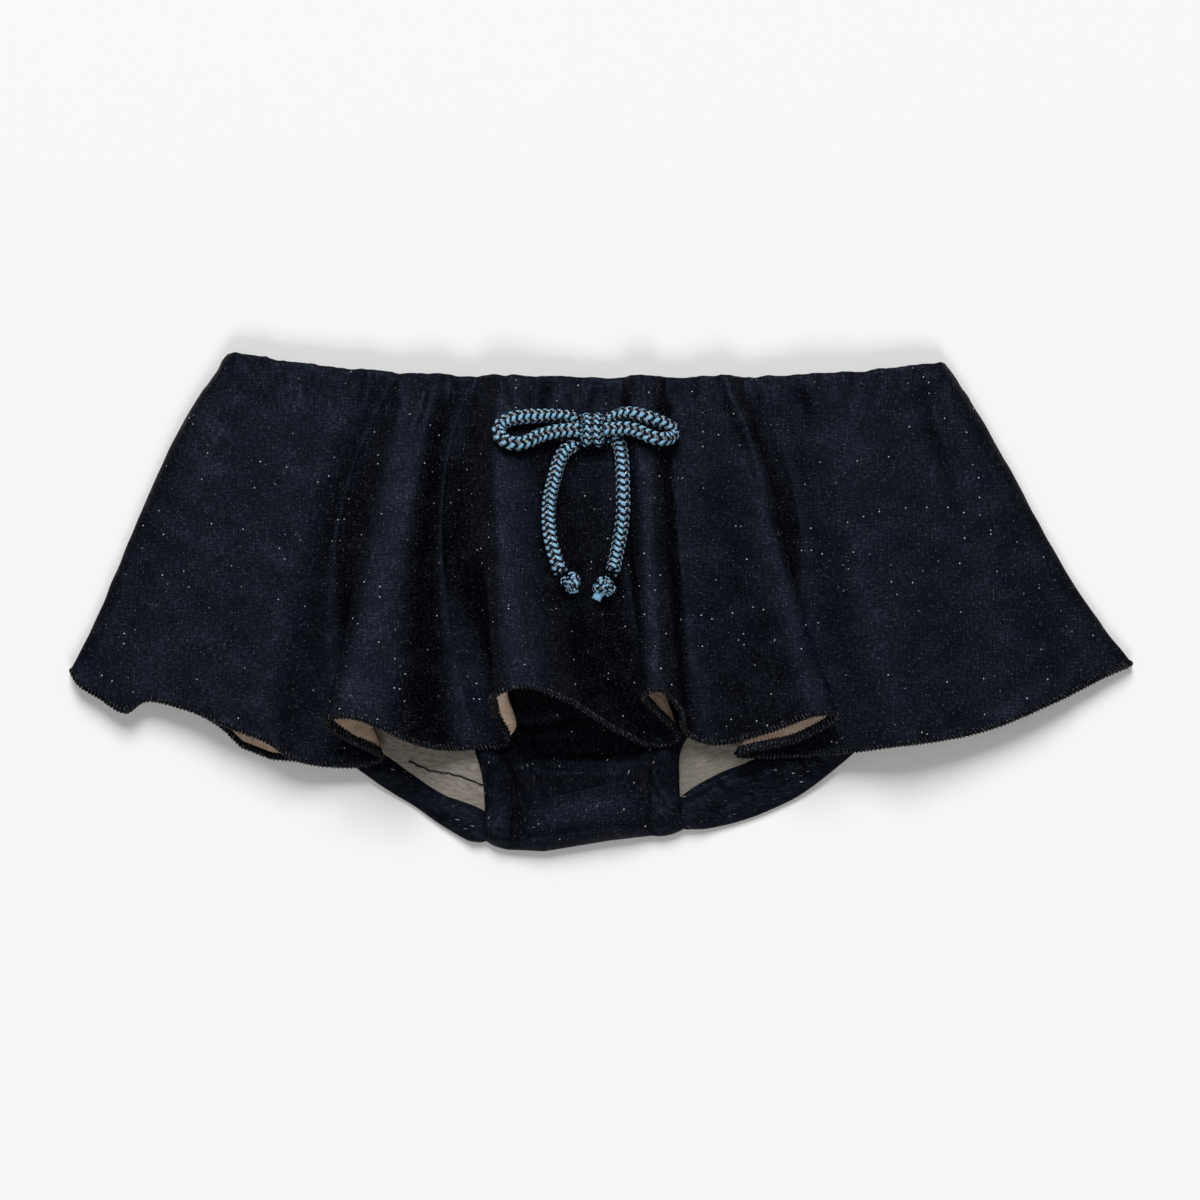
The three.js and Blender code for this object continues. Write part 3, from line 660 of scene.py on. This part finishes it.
def cloth(name, outer, inner, uv, materials, bulge=0.6, inside=INNER, turned=0, sewn=0):
    """A closed sheet between two grids, with a rounded rim. materials: outer, inner, rim.

    The garment's inside shows the rim's material on the turned rows at the top, where the casing
    is folded in, and on the sewn rows at the hem.
    """
    rows, columns = outer.shape[:2]
    index = np.arange(rows * columns).reshape(rows, columns)
    loop = np.concatenate(
        [index[0, :-1], index[:-1, -1], index[-1, :0:-1], index[:0:-1, 0]]
    )
    down, across = unit(np.gradient(outer, axis=0)), unit(np.gradient(outer, axis=1))
    out = np.zeros_like(outer)
    out[0] -= down[0]
    out[-1] += down[-1]
    out[:, 0] -= across[:, 0]
    out[:, -1] += across[:, -1]
    flat_outer, flat_inner = outer.reshape(-1, 3), inner.reshape(-1, 3)
    top, bottom, away = flat_outer[loop], flat_inner[loop], unit(out.reshape(-1, 3)[loop])
    middle, half = (top + bottom) / 2, (top - bottom) / 2
    reach = np.linalg.norm(half, axis=1, keepdims=True) * bulge
    layers = [flat_outer, flat_inner]
    flat_uv = uv.reshape(-1, 2)
    uvs = [flat_uv, flat_uv + INSIDE_UV_SHIFT]
    for step in range(1, RIM_STEPS):
        turn = math.pi * step / RIM_STEPS
        layers.append(middle + half * math.cos(turn) + away * reach * math.sin(turn))
        uvs.append(flat_uv[loop] + (0, 0.6 * step))
    points = np.concatenate(layers)
    a, b, c, d = index[:-1, :-1], index[1:, :-1], index[1:, 1:], index[:-1, 1:]
    quads = np.stack([a, b, c, d], axis=-1).reshape(-1, 4)
    size = rows * columns
    under = np.stack([a, d, c, b], axis=-1).reshape(-1, 4) + size
    sides = [np.full((rows - 1, columns - 1), side) for side in (OUTER, INNER)]
    sides[inside][:turned] = RIM
    sides[inside][rows - 1 - sewn :] = RIM
    which = [side.ravel() for side in sides]
    rings = [loop] + [
        2 * size + (step - 1) * len(loop) + np.arange(len(loop)) for step in range(1, RIM_STEPS)
    ] + [loop + size]
    rim = []
    for upper, lower in zip(rings[:-1], rings[1:]):
        rim.append(np.stack([upper, np.roll(upper, -1), np.roll(lower, -1), lower], axis=-1))
    rim = np.concatenate(rim)
    which.append(np.full(len(rim), RIM))
    faces = np.concatenate([quads, under, rim])
    return build(name, points, faces.tolist(), materials, np.concatenate(which), np.concatenate(uvs))


def cloth_uv(grid):
    """UVs in millimetres: along each row from its middle, and down each column."""
    steps = np.linalg.norm(np.diff(grid, axis=1), axis=2)
    along = np.concatenate([np.zeros((len(grid), 1)), np.cumsum(steps, axis=1)], axis=1)
    along -= along[:, grid.shape[1] // 2 : grid.shape[1] // 2 + 1]
    falls = np.linalg.norm(np.diff(grid, axis=0), axis=2)
    down = -np.concatenate([np.zeros((1, grid.shape[1])), np.cumsum(falls, axis=0)])
    return np.stack([along, down], axis=-1)


FRONT_ROWS, BACK_ROWS, PER_LINE = 96, 84, 8
# Each stretch of the skirt's front that has its UVs from one line: that line, and the last one.
UV_CENTRES = [
    ("left panel", "valley 1"), ("flute B crest", "valley 2"), ("flute C crest", "valley 3"),
    ("flute D crest", "valley 4"), ("flute E crest", "valley 5"),
]


def skirt_uv(grid):
    """UVs in millimetres: x and y of the table, with each flute unrolled from its crest."""
    across = np.diff(grid, axis=1)
    steps = np.hypot(across[:, :, 0], across[:, :, 2])
    along = np.concatenate([np.zeros((len(grid), 1)), np.cumsum(steps, axis=1)], axis=1)
    at = {row[0]: n * PER_LINE for n, row in enumerate(FRONT_LINES)}
    right = at["soft fold"]
    nearest = [
        next((at[middle] for middle, end in UV_CENTRES if n <= at[end]), right)
        for n in range(grid.shape[1])
    ]
    return np.stack([grid[:, nearest, 0] + along - along[:, nearest], grid[:, :, 1]], axis=-1)


def waist_y(x):
    tip_x, tip_y, power = (
        np.where(x < 0, left, right) for left, right in zip(LEFT_TIP, RIGHT_TIP)
    )
    return mix(WAIST_MIDDLE_Y, tip_y, (x / tip_x) ** power)


def line_x(row, down):
    waist_x, half_x, hem_x = row[0], row[1], row[2]
    bend = 4 * half_x - 2 * (waist_x + hem_x)
    swing = SIDE_SWING * waist_x * (1 - 2 * down)
    return mix(waist_x, hem_x, down) + (bend + swing) * down * (1 - down)


def casing(down, across):
    edge = np.minimum(across, 1 - across)
    return CASING * (1 - ease(0, CASING_STEP, down - CASING_DEPTH)) * ease(0.02, 0.08, edge)


def shelf(y):
    return LAYER * ease(SHELF_FROM, SHELF_TO, y)


def on_grid(grid, row, column):
    """Points of a grid at rows and columns that need not be whole."""
    r = np.clip(np.floor(row).astype(int), 0, grid.shape[0] - 2)
    c = np.clip(np.floor(column).astype(int), 0, grid.shape[1] - 2)
    down, along = (row - r)[:, None], (column - c)[:, None]
    return mix(
        mix(grid[r, c], grid[r, c + 1], along), mix(grid[r + 1, c], grid[r + 1, c + 1], along), down
    )


# One turn of overlock thread: rows up from the hem, on the outer side (1) or the inner (-1) or
# the rim (0), how far it has slanted along the hem, and how far it stands off the cloth.
WRAP = [
    (0.9, 1, -0.4, -0.12), (0.5, 1, -0.2, 0.12), (0.0, 1, 0.0, 0.16), (0.0, 0, 0.1, 0.16),
    (0.0, -1, 0.2, 0.18), (1.0, -1, 0.35, 0.16), (1.9, -1, 0.5, 0.14), (2.2, -1, 0.55, -0.1),
]
WRAP_STEP, WRAP_THREAD = 1.15, 0.2
THREAD_LOWEST, BAND_LOWEST = 0.25, 0.3  # heights that keep these clear of the floor
HEM_ROWS = 2


def overlock(name, outer, inner, seed):
    """The thread that an overlock machine wraps over a hem."""
    edge = outer[-1]
    run = np.concatenate([[0], np.cumsum(np.linalg.norm(np.diff(edge, axis=0), axis=1))])
    draw = np.random.default_rng(seed)
    at = np.arange(1.0, run[-1] - 1.0, WRAP_STEP)
    at = at + draw.uniform(-0.2, 0.2, len(at))
    normal = grid_normals(outer)
    last = len(outer) - 1
    path = []
    for rows, face, slant, off in WRAP:
        row = np.full(len(at), last - rows)
        column = np.interp(at + slant, run, np.arange(len(edge)))
        top, bottom = on_grid(outer, row, column), on_grid(inner, row, column)
        up = on_grid(normal, row, column)
        away = unit(on_grid(outer, row, column) - on_grid(outer, row - 1, column))
        middle, half = (top + bottom) / 2, np.linalg.norm(top - bottom, axis=1)[:, None] / 2
        reach = 0.6 * half + off if face == 0 else 0.1 * (rows == 0)
        path.append(middle + up * face * (half + off) + away * reach)
    lines = spline(np.stack(path, axis=1), np.linspace(0, len(WRAP) - 1, 17))
    lines[:, :, 2] = np.maximum(lines[:, :, 2], THREAD_LOWEST)
    tangent = unit(np.gradient(lines, axis=1))
    column = np.interp(at, run, np.arange(len(edge)))
    row = np.full(len(at), last - 0.5)
    along = unit(on_grid(outer, row, column + 0.2) - on_grid(outer, row, column - 0.2))
    ups = unit(np.cross(along[:, None], tangent))
    sides = np.cross(tangent, ups)
    points, faces, uv = tube_grid(lines, sides, ups, (1.15 * WRAP_THREAD, WRAP_THREAD), 5)
    return build(name, points, faces, [THREAD_AND_GLINTS], uv=uv)


# The tall flute's left wall leans in behind the hem, from valley 2 to the flute's lip.
WALL_FROM, WALL_TO, WALL_LEAN = 17.3, 20.0, 5.0
SOFTENING = 14  # how often the heights are averaged along the waist
FRONT_CREASES = [
    # width, rise, points
    (3.0, 0.7, (-59.8, 71.0), (-65.1, 59.0)),
    (2.4, -0.9, (-52.2, 70.0), (-55.7, 57.1), (-58.0, 49.0)),
    (2.0, 0.9, (-30.2, 70.0), (-29.2, 60.6)),
    (3.2, -0.8, (-34.9, 58.1), (-40.3, 53.0), (-37.2, 40.2)),
    (2.6, 0.9, (12.7, 69.5), (19.0, 59.3), (22.6, 53.0), (24.9, 39.5)),
    (2.2, 1.2, (36.5, 69.5), (42.7, 55.2), (50.0, 33.1), (56.1, 23.2)),
    (1.8, 0.7, (45.0, 69.0), (47.3, 60.4)),
    (2.4, 0.8, (60.4, 69.5), (66.6, 56.2)),
    (2.0, 0.6, (73.7, 70.0), (75.7, 63.4)),
    (3.4, -1.4, (99.1, 72.1), (100.4, 59.0), (106.4, 41.4), (109.2, 27.6)),
    (2.4, 0.5, (-84.0, 73.0), (-87.0, 62.0)),
    (2.0, 0.4, (-97.0, 74.5), (-101.0, 66.0)),
    (1.6, 0.5, (-44.0, 69.0), (-45.5, 61.0)),
    (1.6, 0.5, (-19.0, 69.0), (-18.5, 62.0)),
    (1.4, 0.4, (3.0, 69.0), (3.4, 63.5)),
    (1.8, 0.4, (87.0, 71.0), (90.0, 62.5)),
]


def skirt_front():
    rows = np.linspace(0, 1, FRONT_ROWS)
    at = np.linspace(0, len(LINES) - 1, PER_LINE * (len(LINES) - 1) + 1)
    down = rows[:, None]
    x = np.stack([line_x(row, rows) for row in LINES], axis=1)
    y = mix(waist_y(LINES[:, 0]), LINES[:, 4], down)
    z = mix(LINES[:, 3], LINES[:, 5], down)
    outer = spline(np.stack([x, y, z], axis=-1), at)
    soft = outer[:, :, 2].copy()
    for _ in range(SOFTENING):
        soft[:, 1:-1] = 0.5 * soft[:, 1:-1] + 0.25 * (soft[:, :-2] + soft[:, 2:])
    outer[:, :, 2] = mix(soft, outer[:, :, 2], ease(0.55, 0.85, down))
    normal = grid_normals(outer)
    px, py = outer[:, :, 0], outer[:, :, 1]
    rise = creases(px, py, FRONT_CREASES) * ease(0.85, 0.6, down)
    rise += 0.22 * lumps(px, py, (30, 16, 9), 3) * ease(0, 0.05, down)
    rise += 0.35 * lumps(px, 0.3 * py, (8, 4), 5) * ease(0.16, 0.02, down)
    outer = outer + normal * rise[:, :, None]
    leaning = ease(WALL_FROM, WALL_FROM + 0.9, at) * ease(WALL_TO, WALL_TO - 0.7, at)
    outer[:, :, 0] += WALL_LEAN * leaning * ease(1.0, 0.95, down) * ease(0.5, 0.75, down)
    outer[:, :, 1] += 0.3 * lumps(px, 0 * px, (14, 6), 9) * ease(0.05, 0, down)
    outer[:, :, 2] += 0.3 * lumps(px, py, (12, 7), 12) * ease(0.9, 1.0, down)
    across = at[None] / (len(LINES) - 1)
    thick = SHELL + casing(down, across)
    inner = outer - grid_normals(outer) * thick[:, :, None]
    piece = cloth(
        "skirt_front_cloth", outer, inner, skirt_uv(outer), [NAVY, BEIGE, NAVY],
        turned=int(CASING_DEPTH * FRONT_ROWS), sewn=HEM_ROWS,
    )
    return piece, outer, inner


def skirt_back():
    rows, across = np.linspace(0, 1, BACK_ROWS), np.linspace(0, 1, 241)
    ends = [line_x(LINES[0], rows), line_x(LINES[-1], rows)]
    x = mix(ends[0][:, None], ends[1][:, None], across)
    waist_x, hem_x = x[0], x[-1]
    hem_y = np.interp(hem_x, BACK_HEM[:, 0], BACK_HEM[:, 1])
    down = rows[:, None]
    y = mix(waist_y(waist_x), hem_y, down)
    thick = CLOTH + casing(down, across)
    outer = np.stack([x, y, thick], axis=-1)
    inner = np.stack([x, y, np.zeros_like(x)], axis=-1)
    piece = cloth(
        "skirt_back_cloth", outer, inner, cloth_uv(outer), [BEIGE, NAVY, NAVY],
        inside=OUTER, turned=int(CASING_DEPTH * BACK_ROWS), sewn=1,
    )
    return piece, outer, inner


front, front_outer, front_inner = skirt_front()
place_piece(front, ["skirt_front"])
front_hem = place_piece(overlock("front_overlock", front_outer, front_inner, 8), ["skirt_front"])
back, back_outer, back_inner = skirt_back()
place_piece(back, ["skirt_back"])
back_hem = place_piece(overlock("back_overlock", back_outer, back_inner, 9), ["skirt_back"])


def band_line(rows, share, at):
    """A line along a leg band at positions along its rows: share 0 is sewn, 1 is free."""
    points = np.stack(
        [mix(rows[:, 0], rows[:, 2], share), mix(rows[:, 1], rows[:, 3], share), rows[:, 4]],
        axis=1,
    )
    line = spline(points, at)
    line[:, 2] = np.maximum(0, line[:, 2] - shelf(line[:, 1]))
    return line


def roll_out(x, row, share):
    """How far an edge at the crotch rolls out: all of it at the fold, the free edge behind."""
    at_fold, behind = (np.interp(x, ROLL_OUT[:, 0], ROLL_OUT[:, k]) for k in (1, 2))
    at_fold = at_fold * np.exp(-(((row - FOLD_ROW) / 1.3) ** 2))
    return np.maximum(at_fold, behind * ease(FOLD_ROW + 0.2, FOLD_ROW + 1.2, row) * share**2)


def fold_thickness(row):
    return CLOTH - FOLD_STRETCH * ease(2, 0.6, np.abs(row - FOLD_ROW))


def leg_band(name, rows, side, swells, table):
    """A band, swollen between its edges as a folded strip is, with the puckers of its seam."""
    last = len(rows) - 1
    at = np.linspace(0, last, 20 * last + 1)
    shares = np.linspace(0, 1, 17) if side > 0 else np.linspace(1, 0, 17)
    outer = np.stack([band_line(rows, share, at) for share in shares], axis=1)
    outer[:, :, 1] -= roll_out(outer[:, :, 0], at[:, None], shares)
    normal = grid_normals(outer)
    inner = outer - normal * fold_thickness(at)[:, None, None]
    x, y = outer[:, :, 0], outer[:, :, 1]
    run = np.cumsum(np.linalg.norm(np.diff(outer[:, 8], axis=0, prepend=outer[:1, 8]), axis=1))
    puckers = lumps(run[:, None] + 0 * x, 3 * shares + 0 * x, (5.5, 3.2), 21)
    behind = ease(FOLD_ROW, FOLD_ROW + 0.8, at)[:, None]
    swell = mix(swells[0], swells[1], behind)
    swell = swell * (1 + 0.35 * puckers) * 4 * shares * (1 - shares) + creases(x, y, table)
    lift = BAND_LIFT * np.exp(-(((at[:, None] - FOLD_ROW - 1.4) / 0.9) ** 2)) * shares
    outer = outer + normal * (swell * (1 - behind))[:, :, None]
    inner = inner - normal * ((swell + lift) * behind)[:, :, None]
    for face in (outer, inner):
        face[:, :, 2] = np.maximum(face[:, :, 2], BAND_LOWEST)
    return cloth(name, outer, inner, cloth_uv(outer), [NAVY, NAVY, NAVY])


def between_bands(row, across, rise, clear):
    """Points between the sewn edges of the bands; row is down the piece, across is its width."""
    left = band_line(LEFT_BAND, 0, row) + np.stack([clear, rise, 0 * clear], axis=1)
    right = band_line(RIGHT_BAND, 0, row) + np.stack([-clear, rise, 0 * clear], axis=1)
    return mix(left[:, None], right[:, None], across[None, :, None])


def brief_panel(name, start, end, top, puff, materials, table):
    side_rows, band_rows, finer = 4, 11, 8
    count = (side_rows + band_rows) * finer + 1
    down = np.linspace(0, 1, count)
    across = np.linspace(0, 1, 97)
    step = down * (side_rows + band_rows) - side_rows
    upper, lower = step < 0, step >= 0
    seam = np.full(int(lower.sum()), SEAM_LOOK)
    low = between_bands(mix(start, end, step[lower] / band_rows), across, seam, seam)
    sides = []
    for column in (1, 2):
        rows = [(r[column], r[0], top) for r in BRIEF_SIDES]
        corner = between_bands(np.array([float(start)]), across, seam[:1], seam[:1])[0]
        rows.append((*corner[0 if column == 1 else -1, :2], top))
        sides.append(spline(rows, 3 * (1 + step[upper] / side_rows)))
    high = mix(sides[0][:, None], sides[1][:, None], across[None, :, None])
    outer = np.concatenate([high, low])
    middle = 4 * across * (1 - across)
    outer[:, :, 1] -= WAIST_SAG * middle * (1 - down[:, None]) ** 3
    swell = puff * middle * (2 - middle) * ease(PUFF_FROM, PUFF_TO, outer[:, :, 1])
    outer[:, :, 2] = top - shelf(outer[:, :, 1]) + swell
    normal = grid_normals(outer)
    x, y = outer[:, :, 0], outer[:, :, 1]
    outer = outer + normal * creases(x, y, table)[:, :, None]
    inner = outer - grid_normals(outer) * CLOTH
    return cloth(name, outer, inner, cloth_uv(outer), materials)


def gusset():
    down, across = np.linspace(0, 1, 97), np.linspace(0, 1, 49)
    clear = np.full(len(down), SEAM_LOOK)
    row = mix(FRONT_SEAM, BACK_SEAM, down)
    outer = between_bands(row, across, 0 * clear, clear)
    middle = 4 * across * (1 - across)
    outer[:, :, 2] += PUFF * middle * (2 - middle) * ease(0.6, 0.1, down)[:, None]
    outer[:, :, 1] -= roll_out(outer[:, :, 0], row[:, None], 0.0)
    inner = outer - grid_normals(outer) * fold_thickness(row)[:, None, None]
    return cloth("gusset_cloth", outer, inner, cloth_uv(outer), [NAVY, BEIGE, NAVY])


def declared(piece, node):
    place_piece(piece, [node])


BRIEF_CREASES = [
    (1.8, -0.9, (-27.5, -38.9), (-6.2, -35.6)),
    (1.3, -0.6, (-20.1, -46.6), (13.6, -46.0)),
    (1.4, -0.7, (-22.1, -50.4), (13.5, -52.6)),
    (1.2, -0.4, (-24.0, -42.6), (-2.0, -41.8)),
]
LEFT_BAND_CREASES = [
    (0.9, -0.5, (-33.1, -69.2), (-27.5, -71.0)),
    (0.8, -0.4, (-34.0, -58.0), (-28.0, -59.0)),
]
RIGHT_BAND_CREASES = [
    (1.2, -1.3, (24.9, -59.6), (33.8, -53.7), (41.2, -51.3), (52.5, -49.1)),
    (1.4, -1.2, (31.6, -64.5), (41.2, -59.2), (48.0, -55.4)),
    (1.0, -0.7, (15.9, -58.2), (19.4, -63.7)),
    (1.1, -1.1, (50.9, -48.1), (54.5, -56.0)),
    (1.0, -1.0, (58.0, -45.0), (62.5, -51.5)),
    (0.9, -0.8, (65.0, -41.0), (69.5, -47.5)),
]
brief_front = brief_panel(
    "brief_front_cloth", 0, FRONT_SEAM, FRONT_FACE, PUFF, [NAVY, BEIGE, NAVY], BRIEF_CREASES
)
declared(brief_front, "brief_front")
# The brief's back shows its inside through the leg openings, in the beige with that shade painted darker
# into it.
brief_back = brief_panel(
    "brief_back_cloth", len(LEFT_BAND) - 1, BACK_SEAM, BACK_FACE + CLOTH, 0, [BRIEF_BEIGE_PAINTED_SHADE, NAVY, BRIEF_BEIGE_PAINTED_SHADE], []
)


def seam_line(name, points):
    """The dark overlocked seam of a leg band, seen through its leg opening."""
    points = np.array(points, float)
    height = BACK_FACE + CLOTH - shelf(points[:, 1]) + 0.15
    line = route(np.column_stack([points, height]), 0.7)
    line[:, 1] += 0.25 * lumps(line[:, 0], line[:, 1], (5, 2.5), 31)
    _, side, up = frames(line)
    mesh_points, faces, uv = tube_grid(line[None], side[None], up[None], (0.26, 0.2), 8)
    return place_piece(build(name, mesh_points, faces, [THREAD_AND_GLINTS], uv=uv), ["brief_back"])


LEFT_SEAM_POINTS = [(-57.0, -48.6), (-50.1, -51.6), (-44.0, -52.4), (-38.0, -54.4), (-30.5, -57.0)]
left_seam = seam_line("seam_line_left", LEFT_SEAM_POINTS)
place_piece(brief_back, ["brief_back"])
declared(gusset(), "gusset")
left_band = leg_band("leg_band_left_cloth", LEFT_BAND, -1, (0.8, 1.1), LEFT_BAND_CREASES)
declared(left_band, "leg_band_left")
right_band = leg_band("leg_band_right_cloth", RIGHT_BAND, 1, (0.8, 1.9), RIGHT_BAND_CREASES)
declared(right_band, "leg_band_right")


# Floor and light
def floor():
    size = 6.0
    corners = [(-size, -size, 0), (size, -size, 0), (size, size, 0), (-size, size, 0)]
    mesh = bpy.data.meshes.new("floor")
    mesh.from_pydata(corners, [], [(0, 1, 2, 3)])
    made = Nodes("floor_white")
    made.shader.inputs["Base Color"].default_value = rgba(0.86, 0.86, 0.86)
    made.shader.inputs["Roughness"].default_value = 0.9
    made.shader.inputs["Specular IOR Level"].default_value = 0.0
    mesh.materials.append(made.material)
    piece = bpy.data.objects.new("floor", mesh)
    piece.location.z = -0.0002
    bpy.context.collection.objects.link(piece)


def soft_light(name, location, width, length, power):
    data = bpy.data.lights.new(name, "AREA")
    data.shape, data.size, data.size_y, data.energy = "RECTANGLE", width, length, power
    light = bpy.data.objects.new(name, data)
    light.location = location
    light.rotation_euler = (-math.atan2(location[1], location[2]), math.atan2(location[0], location[2]), 0)
    light.visible_camera = False
    bpy.context.collection.objects.link(light)


floor()
soft_light("overhead", (-0.6, 7.2, 9.6), 5.0, 8.0, 1290.0)
soft_light("front", (0.6, -8.0, 6.0), 4.0, 3.0, 430.0)
world = bpy.data.worlds.new("studio")
world.use_nodes = True
world.node_tree.nodes["Background"].inputs["Color"].default_value = rgba(1.0, 1.0, 1.0)
world.node_tree.nodes["Background"].inputs["Strength"].default_value = 0.18
bpy.context.scene.world = world
bpy.context.scene.view_settings.view_transform = "Standard"
